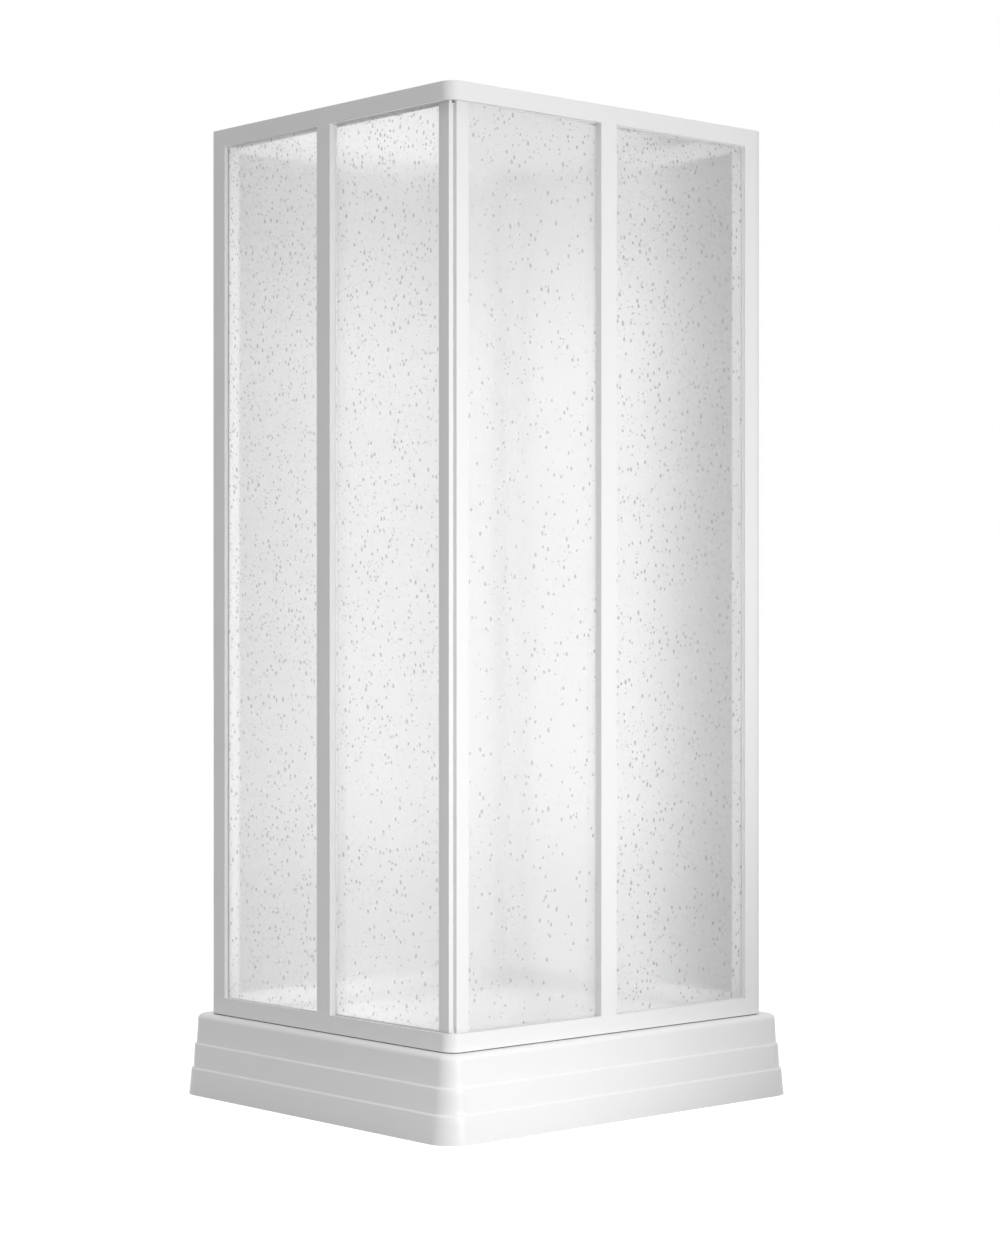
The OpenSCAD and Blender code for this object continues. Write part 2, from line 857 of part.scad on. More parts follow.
module back_gaskets() {
    color(frosted) {
        on_back_left() sheet_gasket(post_face, cabin_x - rail_depth);
        on_back_right() sheet_gasket(rail_depth, cabin_y - rail_depth);
    }
}

// Door parts, each drawn from the door's lead edge to its rear edge along its side

stile_edge_r = 1.5;

module stile(plan_from) {
    color(white) translate([0, 0, door_low]) linear_extrude(door_high - door_low) difference() {
        round_rect([plan_from, door_front], [plan_from + stile_w, door_back], stile_edge_r);
        children();
    }
}

module lead_stile(lead, rebate_low, rebate_high) {
    inner = lead + stile_w - door_groove_depth;
    stile(lead) {
        span([inner, door_groove_front], [lead + stile_w + 1, door_groove_back]);
        span([lead + 2 * magnet_w + 2, door_front + skin], [inner - skin, door_back - skin]);
        span(rebate_low, rebate_high);
    }
}

module rear_stile(end) {
    inner = end - stile_w + door_groove_depth;
    stile(end - stile_w) {
        span([end - stile_w - 1, door_groove_front], [inner, door_groove_back]);
        span([inner + skin, door_front + skin], [end - 2 * skin, door_back - skin]);
    }
}

module door_rail_section(z, groove_from) {
    difference() {
        span([door_front, z], [door_back, z + door_rail_h]);
        span([door_groove_front, groove_from], [door_groove_back, groove_from + door_groove_depth + 1]);
    }
}

module door_top_rail(lead, end) {
    z = door_high - door_rail_h;
    color(white) along(lead + stile_w, end - stile_w) door_rail_section(z, z - 1);
}

module door_bottom_rail(lead, end) {
    color(white) along(lead + stile_w, end - stile_w)
        door_rail_section(door_low, door_low + door_rail_h - door_groove_depth);
}

function door_sheet_low(lead) =
    [lead + stile_w - sheet_seat, door_sheet_front, door_low + door_rail_h - sheet_seat];
function door_sheet_high(end) =
    [end - stile_w + sheet_seat, door_sheet_front + sheet_t, door_high - door_rail_h + sheet_seat];

module door_panel(lead, end) { color(frosted) block(door_sheet_low(lead), door_sheet_high(end)); }

module door_gasket(lead, end) {
    color(frosted)
        edge_gasket(door_sheet_low(lead), door_sheet_high(end), door_leg_t, sheet_seat + gasket_show);
}

module at_rollers(lead, end) {
    for (s = [lead + roller_inset, end - roller_inset]) translate([s, 0, 0]) children();
}

bracket_half = 14;
bracket_low = 2;
bracket_rise = 5;
axle_fit = 0.05;
axle_head_r = axle_r + 1.5;

module roller_brackets(lead, end) {
    color(steel) at_rollers(lead, end) translate([0, 0, top_rail_z]) difference() {
        block([-bracket_half, door_back, bracket_low], [bracket_half, bracket_back, axle_z + bracket_rise]);
        translate([0, door_back - 1, axle_z]) rotate([-90, 0, 0])
            cylinder(h = bracket_t + 2, r = axle_r + axle_fit);
    }
}

module roller_axles(lead, end) {
    color(steel) at_rollers(lead, end) translate([0, 0, top_rail_z + axle_z]) rotate([-90, 0, 0]) {
        translate([0, 0, door_back]) cylinder(h = axle_end - door_back, r = axle_r);
        translate([0, 0, axle_end - axle_head_t]) cylinder(h = axle_head_t, r = axle_head_r);
    }
}

// One face of a roller, from its bore to its tread, with the dish between hub and rim
module roller(at) {
    bore = axle_r + axle_clearance;
    edge = 0.6;
    dish = 1;
    face = [[bore, 0], [wheel_r * 0.5, 0], [wheel_r * 0.55, dish], [wheel_r * 0.75, dish],
        [wheel_r * 0.8, 0], [wheel_r - edge, 0], [wheel_r, edge]];
    color(rubber) translate([at, wheel_front, top_rail_z + axle_z]) rotate([-90, 0, 0]) rotate_extrude()
        polygon(concat(face, reversed([for (p = face) [p.x, wheel_w - p.y]])));
}

shoe_half = 15;
shoe_side_gap = 0.8;
rib_gap = 0.5;

module guide_shoes(lead, end) {
    slot = rib_t / 2 + rib_gap;
    color(rubber) at_rollers(lead, end) difference() {
        block([-shoe_half, door_front + shoe_side_gap, frame_z + shoe_bottom],
            [shoe_half, door_back - shoe_side_gap, door_low]);
        block([-shoe_half - 1, rib_at - slot, frame_z],
            [shoe_half + 1, rib_at + slot, frame_z + rib_top + 1]);
    }
}

magnet_inset = 5;
magnet_proud = 0.5;

module magnet_strip(low, high) {
    color(white) block([low.x, low.y, sill_z + magnet_inset], [high.x, high.y, top_rail_z - magnet_inset]);
}

left_magnet_low = [left_lead, door_back - magnet_w + magnet_proud];
left_magnet_high = [left_lead + 2 * magnet_w, door_back];
right_magnet_low = [right_lead, door_back - magnet_w];
right_magnet_high = [right_lead + magnet_w, door_back + magnet_w];

module left_lead_stile() {
    on_left() lead_stile(left_lead, left_magnet_low - [1, 0], left_magnet_high + [0, 1]);
}
module left_rear_stile() { on_left() rear_stile(left_end); }
module left_door_top_rail() { on_left() door_top_rail(left_lead, left_end); }
module left_door_bottom_rail() { on_left() door_bottom_rail(left_lead, left_end); }
module left_door_panel() { on_left() door_panel(left_lead, left_end); }
module left_door_gasket() { on_left() door_gasket(left_lead, left_end); }
module left_magnet_strip() { on_left() magnet_strip(left_magnet_low, left_magnet_high); }
module left_roller_brackets() { on_left() roller_brackets(left_lead, left_end); }
module left_roller_axles() { on_left() roller_axles(left_lead, left_end); }
module left_guide_shoes() { on_left() guide_shoes(left_lead, left_end); }
module left_roller_front() { on_left() roller(left_lead + roller_inset); }
module left_roller_rear() { on_left() roller(left_end - roller_inset); }

module right_lead_stile() {
    on_right() lead_stile(right_lead, right_magnet_low - [1, 0], right_magnet_high);
}
module right_rear_stile() { on_right() rear_stile(right_end); }
module right_door_top_rail() { on_right() door_top_rail(right_lead, right_end); }
module right_door_bottom_rail() { on_right() door_bottom_rail(right_lead, right_end); }
module right_door_panel() { on_right() door_panel(right_lead, right_end); }
module right_door_gasket() { on_right() door_gasket(right_lead, right_end); }
module right_magnet_strip() { on_right() magnet_strip(right_magnet_low, right_magnet_high); }
module right_roller_brackets() { on_right() roller_brackets(right_lead, right_end); }
module right_roller_axles() { on_right() roller_axles(right_lead, right_end); }
module right_guide_shoes() { on_right() guide_shoes(right_lead, right_end); }
module right_roller_front() { on_right() roller(right_lead + roller_inset); }
module right_roller_rear() { on_right() roller(right_end - roller_inset); }

stop_low = 3;

module door_stop(end, travel) {
    from = end + travel + running_gap;
    block([from, door_front, top_rail_z + stop_low], [from + stop_t, door_back, frame_top - skin]);
}

module door_stops() {
    color(rubber) {
        on_left() door_stop(left_end, left_travel);
        on_right() door_stop(right_end, right_travel);
    }
}

tray();
tray_seal();
support_bars();
tray_feet();
foot_nuts();
waste_body();
waste_washer();
waste_flange();
waste_cover();
post_left();
post_right();
post_back();
post_caps();
top_rail_left();
top_rail_right();
bottom_rail_left();
bottom_rail_right();
back_top_rail_left();
back_top_rail_right();
back_bottom_rail_left();
back_bottom_rail_right();
top_corner();
bottom_corner();
mullion_left();
mullion_right();
mullion_seals();
rail_brackets();
frame_rivets();
door_stops();
fixed_panel_left();
fixed_panel_right();
back_panel_left();
back_panel_right();
fixed_gaskets();
back_gaskets();
left_lead_stile();
left_rear_stile();
left_door_top_rail();
left_door_bottom_rail();
left_door_panel();
left_door_gasket();
left_magnet_strip();
left_roller_brackets();
left_roller_axles();
left_guide_shoes();
left_roller_front();
left_roller_rear();
right_lead_stile();
right_rear_stile();
right_door_top_rail();
right_door_bottom_rail();
right_door_panel();
right_door_gasket();
right_magnet_strip();
right_roller_brackets();
right_roller_axles();
right_guide_shoes();
right_roller_front();
right_roller_rear();
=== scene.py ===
# %% [markdown]
# A corner-entry shower cabin, dressed for the studio. The solids come from the construction model as a fixed
# frame: posts, rails, mullions, doors, rollers and tray already have their true size and place. This file gives
# each of them its finish, and builds the raindrop sheets as meshes of their own.

# %% Load the frame
import json
import math
import random

import bpy
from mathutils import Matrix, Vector
from mathutils.geometry import delaunay_2d_cdt

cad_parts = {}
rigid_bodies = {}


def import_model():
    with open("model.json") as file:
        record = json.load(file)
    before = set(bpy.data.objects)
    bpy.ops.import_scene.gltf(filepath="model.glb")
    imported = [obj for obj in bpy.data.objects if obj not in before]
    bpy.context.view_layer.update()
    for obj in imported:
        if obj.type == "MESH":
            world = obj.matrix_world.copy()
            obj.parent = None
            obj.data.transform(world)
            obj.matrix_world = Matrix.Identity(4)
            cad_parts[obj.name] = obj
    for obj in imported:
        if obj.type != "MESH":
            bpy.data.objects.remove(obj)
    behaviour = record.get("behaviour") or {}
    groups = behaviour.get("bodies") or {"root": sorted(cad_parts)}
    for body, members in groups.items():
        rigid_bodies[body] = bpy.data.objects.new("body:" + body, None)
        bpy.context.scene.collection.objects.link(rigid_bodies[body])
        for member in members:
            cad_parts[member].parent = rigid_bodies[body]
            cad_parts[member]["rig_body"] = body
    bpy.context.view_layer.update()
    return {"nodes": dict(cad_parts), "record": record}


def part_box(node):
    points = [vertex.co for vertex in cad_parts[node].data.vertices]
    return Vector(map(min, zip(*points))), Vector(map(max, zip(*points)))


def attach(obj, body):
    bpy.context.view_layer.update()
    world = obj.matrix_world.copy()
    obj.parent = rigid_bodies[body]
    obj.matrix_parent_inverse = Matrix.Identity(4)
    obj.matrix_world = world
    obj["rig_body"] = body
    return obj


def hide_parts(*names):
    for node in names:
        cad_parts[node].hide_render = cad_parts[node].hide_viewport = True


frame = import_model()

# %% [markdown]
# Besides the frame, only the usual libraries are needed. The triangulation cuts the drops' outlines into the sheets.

nodes = frame["nodes"]
MM = 0.001

# %% [markdown]
# The camera stands level, about 5.4 metres from the front corner. A long lens keeps the uprights
# parallel. Instead of tilting, which would make them lean, the frame is shifted a little, as with a view camera.

# %% Camera
PHOTO_H = 1234
FOCAL_PX = 2841
HORIZON_PX = 629
SENSOR = 36
CLEAR_VIEW_M = 100
FROM_CORNER = Vector((-3.516, -4.088, 0.976))
RIGHT_ANGLE = math.radians(90)
heading = math.radians(48.32)
corner = Vector((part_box("top_corner")[0].x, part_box("top_corner")[0].y, 0))

camera_data = bpy.data.cameras.new("Camera")
camera_data.sensor_width = SENSOR
camera_data.lens = FOCAL_PX / PHOTO_H * SENSOR
camera_data.shift_y = (HORIZON_PX - PHOTO_H / 2) / PHOTO_H
camera_data.clip_end = CLEAR_VIEW_M
camera = bpy.data.objects.new("Camera", camera_data)
camera.location = corner + FROM_CORNER
camera.rotation_euler = (RIGHT_ANGLE, 0, heading - RIGHT_ANGLE)
bpy.context.scene.collection.objects.link(camera)
bpy.context.scene.camera = camera
bpy.context.scene.view_settings.view_transform = "Standard"
print("camera lens", round(camera_data.lens, 1), "mm, shift", round(camera_data.shift_y, 4))

# %% [markdown]
# Small helpers keep the node work readable. A material starts with its Principled BSDF, and whatever is the same
# all over the surface is set on that shader's own socket. What changes over the surface comes from node groups.

# %% Node helpers
def link(tree, source, target):
    tree.links.new(source, target)


def new_group(name, inputs, outputs):
    """An empty shader group with float inputs, given with their defaults, and float or colour outputs."""
    tree = bpy.data.node_groups.new(name, "ShaderNodeTree")
    for label, value in inputs.items():
        socket = tree.interface.new_socket(label, in_out="INPUT", socket_type="NodeSocketFloat")
        socket.default_value = value
    for label, kind in outputs.items():
        tree.interface.new_socket(label, in_out="OUTPUT", socket_type=kind)
    return tree, tree.nodes.new("NodeGroupInput"), tree.nodes.new("NodeGroupOutput")


def add(tree, kind, **values):
    """A new node, with each value put on the socket of that name, or else on the node's own setting."""
    node = tree.nodes.new(kind)
    for key, value in values.items():
        if key in node.inputs:
            node.inputs[key].default_value = value
        else:
            setattr(node, key, value)
    return node


# %% [markdown]
# Powder coat and moulded plastic are never dead flat. A fine ripple, called orange peel, breaks up the highlights,
# and over a hand's width the gloss and the white drift a little. Both effects are used by several finishes, so
# each is a group that is built once. They read object coordinates, so the pattern stays on a door when it slides.

# %% Shared surface effects
MM_PER_M = 1000


def build_ripple():
    tree, given, out = new_group(
        "Orange peel", {"Size mm": 2.0, "Depth": 1.0}, {"Height": "NodeSocketFloat"})
    place = add(tree, "ShaderNodeTexCoord")
    per_metre = add(tree, "ShaderNodeMath", operation="DIVIDE")
    per_metre.inputs[0].default_value = MM_PER_M
    link(tree, given.outputs["Size mm"], per_metre.inputs[1])
    noise = add(tree, "ShaderNodeTexNoise", Detail=2.0, Roughness=0.4)
    link(tree, place.outputs["Object"], noise.inputs["Vector"])
    link(tree, per_metre.outputs[0], noise.inputs["Scale"])
    depth = add(tree, "ShaderNodeMath", operation="MULTIPLY")
    link(tree, noise.outputs["Fac"], depth.inputs[0])
    link(tree, given.outputs["Depth"], depth.inputs[1])
    link(tree, depth.outputs[0], out.inputs["Height"])
    return tree


def build_drift():
    tree, given, out = new_group(
        "Slow drift", {"Size mm": 120.0, "Low": 0.9, "High": 1.0}, {"Value": "NodeSocketFloat"})
    place = add(tree, "ShaderNodeTexCoord")
    per_metre = add(tree, "ShaderNodeMath", operation="DIVIDE")
    per_metre.inputs[0].default_value = MM_PER_M
    link(tree, given.outputs["Size mm"], per_metre.inputs[1])
    noise = add(tree, "ShaderNodeTexNoise", Detail=3.0, Roughness=0.55)
    link(tree, place.outputs["Object"], noise.inputs["Vector"])
    link(tree, per_metre.outputs[0], noise.inputs["Scale"])
    spread = add(tree, "ShaderNodeMapRange")
    spread.inputs["From Min"].default_value = 0.3
    spread.inputs["From Max"].default_value = 0.7
    link(tree, noise.outputs["Fac"], spread.inputs["Value"])
    link(tree, given.outputs["Low"], spread.inputs["To Min"])
    link(tree, given.outputs["High"], spread.inputs["To Max"])
    link(tree, spread.outputs["Result"], out.inputs["Value"])
    return tree


ripple_group = build_ripple()
drift_group = build_drift()
print("groups:", ripple_group.name, "and", drift_group.name)


# %% [markdown]
# One function lays down a painted or moulded surface: a base colour that drifts slightly in lightness, a
# roughness that drifts with it, and a ripple fed to the normal through a Bump node. Each finish calls it with the
# values of its own maker's process.

# %% Building a finish
TONE_PATCH_MM = 140.0
GLOSS_PATCH_MM = 60.0
GLOSS_SPREAD = 0.15
BUMP_STRENGTH = 0.4


def place_group(tree, group, **values):
    node = add(tree, "ShaderNodeGroup", node_tree=group)
    for label, value in values.items():
        node.inputs[label.replace("_", " ")].default_value = value
    return node


def finish(name, colour, roughness, ripple_mm=2.0, ripple_depth=0.03, tone_drift=0.02, **sockets):
    material = bpy.data.materials.new(name)
    material.use_nodes = True
    tree = material.node_tree
    shader = tree.nodes["Principled BSDF"]
    for label, value in sockets.items():
        shader.inputs[label.replace("_", " ")].default_value = value

    tone = place_group(tree, drift_group, Size_mm=TONE_PATCH_MM, Low=1 - tone_drift, High=1.0)
    tint = add(tree, "ShaderNodeMix", data_type="RGBA", blend_type="MULTIPLY")
    tint.inputs["Factor"].default_value = 1.0
    tint.inputs[6].default_value = (*colour, 1)
    link(tree, tone.outputs["Value"], tint.inputs[7])
    link(tree, tint.outputs[2], shader.inputs["Base Color"])

    gloss = place_group(tree, drift_group, Size_mm=GLOSS_PATCH_MM, Low=roughness * (1 - GLOSS_SPREAD),
                        High=roughness * (1 + GLOSS_SPREAD))
    link(tree, gloss.outputs["Value"], shader.inputs["Roughness"])

    ripple = place_group(tree, ripple_group, Size_mm=ripple_mm, Depth=ripple_depth)
    bump = add(tree, "ShaderNodeBump", Strength=BUMP_STRENGTH, Distance=MM)
    link(tree, ripple.outputs["Height"], bump.inputs["Height"])
    link(tree, bump.outputs["Normal"], shader.inputs["Normal"])
    return material


# %% [markdown]
# The frame is extruded aluminium with a white powder coat; the corner pieces and caps are moulded to match it, a
# little smoother. The tray is vacuum-formed acrylic: deep gloss over slow waves. Gaskets, rubber, nylon and the
# few bare metal parts are small, but each keeps its own colour and sheen when the cabin is seen from inside. After
# its name, each finish gives its colour, roughness, ripple in millimetres, depth of the ripple and drift of the tone.

# %% Finishes
coated_frame = finish("White powder coat", (0.80, 0.80, 0.805), 0.52, 1.6, 0.04, 0.01)
moulded_corner = finish("White moulded corner", (0.80, 0.80, 0.805), 0.46, 4.0, 0.02, 0.01)
tray_shell = finish("White acrylic", (0.81, 0.81, 0.815), 0.40, 45.0, 0.4, 0.015)
gasket = finish("Soft clear gasket", (0.78, 0.78, 0.785), 0.40, 3.0, 0.05, 0.04)
rubber = finish("Dark rubber", (0.12, 0.12, 0.122), 0.62, 0.8, 0.12, 0.2)
magnet = finish("White magnet strip", (0.79, 0.79, 0.795), 0.5, 1.2, 0.08, 0.03)
wheel_plastic = finish("Natural nylon", (0.70, 0.69, 0.66), 0.33, 1.4, 0.05, 0.05, Subsurface_Weight=0.05)
polished_steel = finish("Polished steel", (0.78, 0.78, 0.79), 0.09, 8.0, 0.02, 0.03, Metallic=1.0)
waste_plastic = finish("Plain white plastic", (0.74, 0.74, 0.73), 0.45, 1.2, 0.06, 0.03)
bare_steel = finish("Zinc plate", (0.56, 0.57, 0.59), 0.34, 2.5, 0.05, 0.22, Metallic=1.0)

finish_of = {
    "coated_frame": coated_frame, "moulded_corner": moulded_corner, "tray_shell": tray_shell, "gasket": gasket,
    "rubber": rubber, "magnet": magnet, "wheel_plastic": wheel_plastic, "polished_steel": polished_steel,
    "waste_plastic": waste_plastic, "bare_steel": bare_steel}
print("finishes:", ", ".join(sorted(finish_of)))

# %% [markdown]
# The sheets are clear polystyrene, pressed with a raindrop pattern. Between the drops the face is hazy: light goes
# through but is spread, so what stands close behind shows and what is far melts away. A rough transmission does
# this in one shader. The drops are smoother than the haze, so they have a finish of their own, and their grey
# colour is painted shade: it stands in for the darker surroundings that the clear drops refract. A lamp can't shine
# through a refracting surface by itself, so for shadow rays alone the sheets are nearly clear.

# %% Sheet finishes
LIGHT_LET_THROUGH = 0.8


def sheet_finish(name, colour, roughness, transmission, ripple_mm, ripple_depth):
    material = finish(name, colour, roughness, ripple_mm, ripple_depth, 0.01, IOR=1.45)
    tree = material.node_tree
    shader = tree.nodes["Principled BSDF"]
    shader.inputs["Transmission Weight"].default_value = transmission
    path = add(tree, "ShaderNodeLightPath")
    shade = add(tree, "ShaderNodeMath", operation="MULTIPLY_ADD")
    shade.inputs[1].default_value = -LIGHT_LET_THROUGH
    shade.inputs[2].default_value = 1
    link(tree, path.outputs["Is Shadow Ray"], shade.inputs[0])
    link(tree, shade.outputs[0], shader.inputs["Alpha"])
    return material


haze = sheet_finish("Hazy polystyrene", (0.955, 0.955, 0.958), 0.14, 0.90, 3.0, 0.20)
# The drops' grey base colour is painted shade, for the darker surroundings that the clear drops refract.
drop = sheet_finish("Raindrop with painted shade", (0.57, 0.575, 0.58), 0.06, 0.80, 6.0, 0.05)
finish_of["raindrop_sheet"] = haze
print("sheet finishes:", haze.name, "and", drop.name)

# %% [markdown]
# Every node of the construction takes the finish of its material slot. The facets of a round surface are joined
# and shaded as one, as on the tray's rolled steps, and edges sharper than 35 degrees are split, so they stay crisp.

# %% Dress the construction
EDGE_ANGLE = math.radians(35)

slot_of = {part["node"]: part["material_slot"] for part in frame["record"]["subparts"]}
for name, solid in nodes.items():
    solid.data.materials.clear()
    solid.data.materials.append(finish_of[slot_of[name]])
    solid.data.shade_smooth()
    weld = solid.modifiers.new("Join facets", "WELD")
    weld.merge_threshold = 0.01 * MM
    crisp = solid.modifiers.new("Crisp edges", "EDGE_SPLIT")
    crisp.split_angle = EDGE_ANGLE
print("dressed", len(nodes), "nodes")

# %% [markdown]
# A pressed raindrop sheet could be faked with a bump map, but close up the drops are real swellings that catch
# the light. So each sheet is one closed mesh: the outlines of the drops are cut into the flat outer face by a
# constrained triangulation, and each outline carries a low dome. Drops are taller than they are wide, as if
# running down, and they keep clear of each other and of the gaskets. The four front sheets don't show equally
# many drops in the photograph, so each has its own share of them, set by counting dark spots in both pictures. The
# real sheets are probably alike. Widths and heights are half measures in millimetres.

# %% Drop outlines
DROP_PER_MM2 = 1 / 230
CROWDED_AT_TOP = 1.2
DROP_SHARE = {"fixed_panel_left": 1.5, "fixed_panel_right": 1.15, "right_door_panel": 0.5}
TRIES_PER_DROP = 1.3
EDGE_CLEAR = 13
DROP_GAP = 0.3
NARROWEST = 0.9
WIDTH_SPREAD = 2.6
MOSTLY_SMALL = 2.5
STRETCH = (1.0, 1.7)
LEAN_DEGREES = 9
MOST_TAPER = 0.35
SMALL_DROP = 1.5
SIDES_SMALL = 8
SIDES_LARGE = 14


class DropField:
    """Places drops in a rectangle, in millimetres. Its cells are wider than two drops reach, to find neighbours."""

    CELL = 16

    def __init__(self, low, high, seed):
        self.low, self.high = low, high
        self.dice = random.Random(seed)
        self.cells = {}
        self.drops = []

    def cell(self, x, y):
        return int(x // self.CELL), int(y // self.CELL)

    def free(self, x, y, reach):
        cx, cy = self.cell(x, y)
        near = [self.cells.get((i, j), []) for i in range(cx - 1, cx + 2) for j in range(cy - 1, cy + 2)]
        return all(math.dist((x, y), (px, py)) > reach + other for group in near for px, py, other in group)

    def try_drop(self):
        dice = self.dice
        width = NARROWEST + WIDTH_SPREAD * dice.random() ** MOSTLY_SMALL
        height = width * dice.uniform(*STRETCH)
        x = dice.uniform(self.low[0], self.high[0])
        y = self.high[1] - (self.high[1] - self.low[1]) * dice.random() ** CROWDED_AT_TOP
        lean = math.radians(dice.gauss(0, LEAN_DEGREES))
        taper = dice.uniform(0.0, MOST_TAPER)
        if self.free(x, y, height + DROP_GAP):
            self.cells.setdefault(self.cell(x, y), []).append((x, y, height))
            self.drops.append((x, y, width, height, lean, taper))

    def fill(self, share):
        area = (self.high[0] - self.low[0]) * (self.high[1] - self.low[1])
        for _ in range(int(area * DROP_PER_MM2 * TRIES_PER_DROP * share)):
            self.try_drop()
        return self.drops


def sides(drop_shape):
    return SIDES_SMALL if drop_shape[2] < SMALL_DROP else SIDES_LARGE


def drop_ring(drop_shape, share):
    """Points round a drop at a share of its size. The taper draws the top in, as on a running drop."""
    x, y, width, height, lean, taper = drop_shape
    ring = []
    for k in range(sides(drop_shape)):
        angle = 2 * math.pi * k / sides(drop_shape)
        across = width * share * math.cos(angle) * (1 - taper * math.sin(angle))
        along = height * share * math.sin(angle)
        ring.append((x + across * math.cos(lean) - along * math.sin(lean),
                     y + across * math.sin(lean) + along * math.cos(lean)))
    return ring


# %% [markdown]
# The sheet is drawn flat first, in millimetres: u runs along the side of the cabin, v upward and w out of the
# outer face. Then it is turned into the place of the solid that it stands for, whose thin direction tells which
# side of the cabin it closes.

# %% Sheet meshes
RING_SHARE = 0.62
RING_RISE = 0.72
DOME_RISE = 0.32
WIDEST_RISING = 2.2
WITHIN_LOOPS = 1
CLOSEST_POINTS = 1e-5


def flat_with_holes(size, drops):
    """Triangles of the rectangle around the drops, with the rectangle's corners as the first four vertices."""
    points = [(0, 0), (size[0], 0), size, (0, size[1])]
    loops = [[0, 1, 2, 3]]
    for shape in drops:
        loops.append(list(range(len(points), len(points) + sides(shape))))
        points.extend(drop_ring(shape, 1.0))
    _, _, faces, origin, _, source = delaunay_2d_cdt(
        [Vector(p) for p in points], [], loops, WITHIN_LOOPS, CLOSEST_POINTS, True)
    index = {new: given[0] for new, given in enumerate(origin) if given}
    around = [[index[v] for v in face] for face, loop in zip(faces, source) if loop == [0]]
    return points, around, loops[1:]


def sheet_mesh(name, size, thick, drops):
    """The closed sheet: material 0 is its flat faces and edges, material 1 the domes of the drops."""
    points, around, outlines = flat_with_holes(size, drops)
    vertices = [(u, v, 0) for u, v in points]
    faces = [(face, 0) for face in around]
    for outline, shape in zip(outlines, drops):
        rise = min(shape[2], WIDEST_RISING) * DOME_RISE
        inner = list(range(len(vertices), len(vertices) + len(outline)))
        vertices.extend((u, v, rise * RING_RISE) for u, v in drop_ring(shape, RING_SHARE))
        top = len(vertices)
        vertices.append((shape[0], shape[1], rise))
        for k in range(len(outline)):
            after = (k + 1) % len(outline)
            faces.append(([outline[k], outline[after], inner[after], inner[k]], 1))
            faces.append(([inner[k], inner[after], top], 1))
    back = len(vertices)
    vertices.extend((u, v, -thick) for u, v in points[:4])
    faces.append(([back + 3, back + 2, back + 1, back], 0))
    for k in range(4):
        after = (k + 1) % 4
        faces.append(([after, k, back + k, back + after], 0))
    mesh = bpy.data.meshes.new(name)
    mesh.from_pydata(vertices, [], [face for face, _ in faces])
    for polygon, (_, kind) in zip(mesh.polygons, faces):
        polygon.material_index = kind
        polygon.use_smooth = kind == 1
    return mesh


def raindrop_sheet(node, seed):
    low, high = (corner_of / MM for corner_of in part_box(node))
    thin = min(range(2), key=lambda axis: high[axis] - low[axis])
    wide = 1 - thin
    outward = 1 if (low[thin] + high[thin]) > 0 else -1
    size = (high[wide] - low[wide], high.z - low.z)
    thick = high[thin] - low[thin]
    field = DropField((EDGE_CLEAR, EDGE_CLEAR), (size[0] - EDGE_CLEAR, size[1] - EDGE_CLEAR), seed)
    drops = field.fill(DROP_SHARE.get(node, 1.0))
    mesh = sheet_mesh(node + "_sheet", size, thick, drops)
    outer = high[thin] if outward > 0 else low[thin]
    for vertex in mesh.vertices:
        u, v, w = vertex.co
        place = Vector((0, 0, low.z + v))
        place[wide] = low[wide] + u
        place[thin] = outer + outward * w
        vertex.co = place * MM
    if (thin == 0) == (outward < 0):
        mesh.flip_normals()
    mesh.materials.append(haze)
    mesh.materials.append(drop)
    piece = bpy.data.objects.new(node + "_sheet", mesh)
    bpy.context.scene.collection.objects.link(piece)
    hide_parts(node)
    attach(piece, nodes[node]["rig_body"])
    print(piece.name, "has", len(drops), "drops and", len(mesh.polygons), "faces")


# %% [markdown]
# Every sheet gets drops of its own, from a seed counted up from the first, so no two sheets look the same. A sheet
# in a door rides on that door's body, so it slides with it.

# %% Hang the sheets
FIRST_SEED = 11

sheet_nodes = sorted(name for name, slot in slot_of.items() if slot == "raindrop_sheet")
for seed, node in enumerate(sheet_nodes, start=FIRST_SEED):
    raindrop_sheet(node, seed)

# %% [markdown]
# The studio is a white floor under a white sky, which gives more light from overhead than from the horizon. The
# floor and the sky glow for what looks straight at them, for mirrors and through glass, so the background stays
# white without more light on the cabin, and the floor still takes a soft shadow.

# %% Studio
SKY_LOW = 0.11
SKY_HIGH = 1.17
FLOOR_GLOW = 0.85


def seen_directly(tree):
    """1 for camera, glossy and transmission rays, else 0."""
    path = add(tree, "ShaderNodeLightPath")
    first = add(tree, "ShaderNodeMath", operation="MAXIMUM")
    second = add(tree, "ShaderNodeMath", operation="MAXIMUM")
    link(tree, path.outputs["Is Camera Ray"], first.inputs[0])
    link(tree, path.outputs["Is Glossy Ray"], first.inputs[1])
    link(tree, first.outputs[0], second.inputs[0])
    link(tree, path.outputs["Is Transmission Ray"], second.inputs[1])
    return second.outputs[0]


world = bpy.data.worlds.new("White studio")
bpy.context.scene.world = world
world.use_nodes = True
sky_tree = world.node_tree
sky = sky_tree.nodes["Background"]
sky.inputs["Color"].default_value = (1, 1, 1, 1)
way = add(sky_tree, "ShaderNodeTexCoord")
parts = add(sky_tree, "ShaderNodeSeparateXYZ")
link(sky_tree, way.outputs["Generated"], parts.inputs[0])
overhead = add(sky_tree, "ShaderNodeMapRange")
overhead.inputs["To Min"].default_value = SKY_LOW
overhead.inputs["To Max"].default_value = SKY_HIGH
link(sky_tree, parts.outputs["Z"], overhead.inputs["Value"])
strength = add(sky_tree, "ShaderNodeMapRange")
strength.inputs["To Max"].default_value = 1.0
link(sky_tree, overhead.outputs["Result"], strength.inputs["To Min"])
link(sky_tree, seen_directly(sky_tree), strength.inputs["Value"])
link(sky_tree, strength.outputs["Result"], sky.inputs["Strength"])

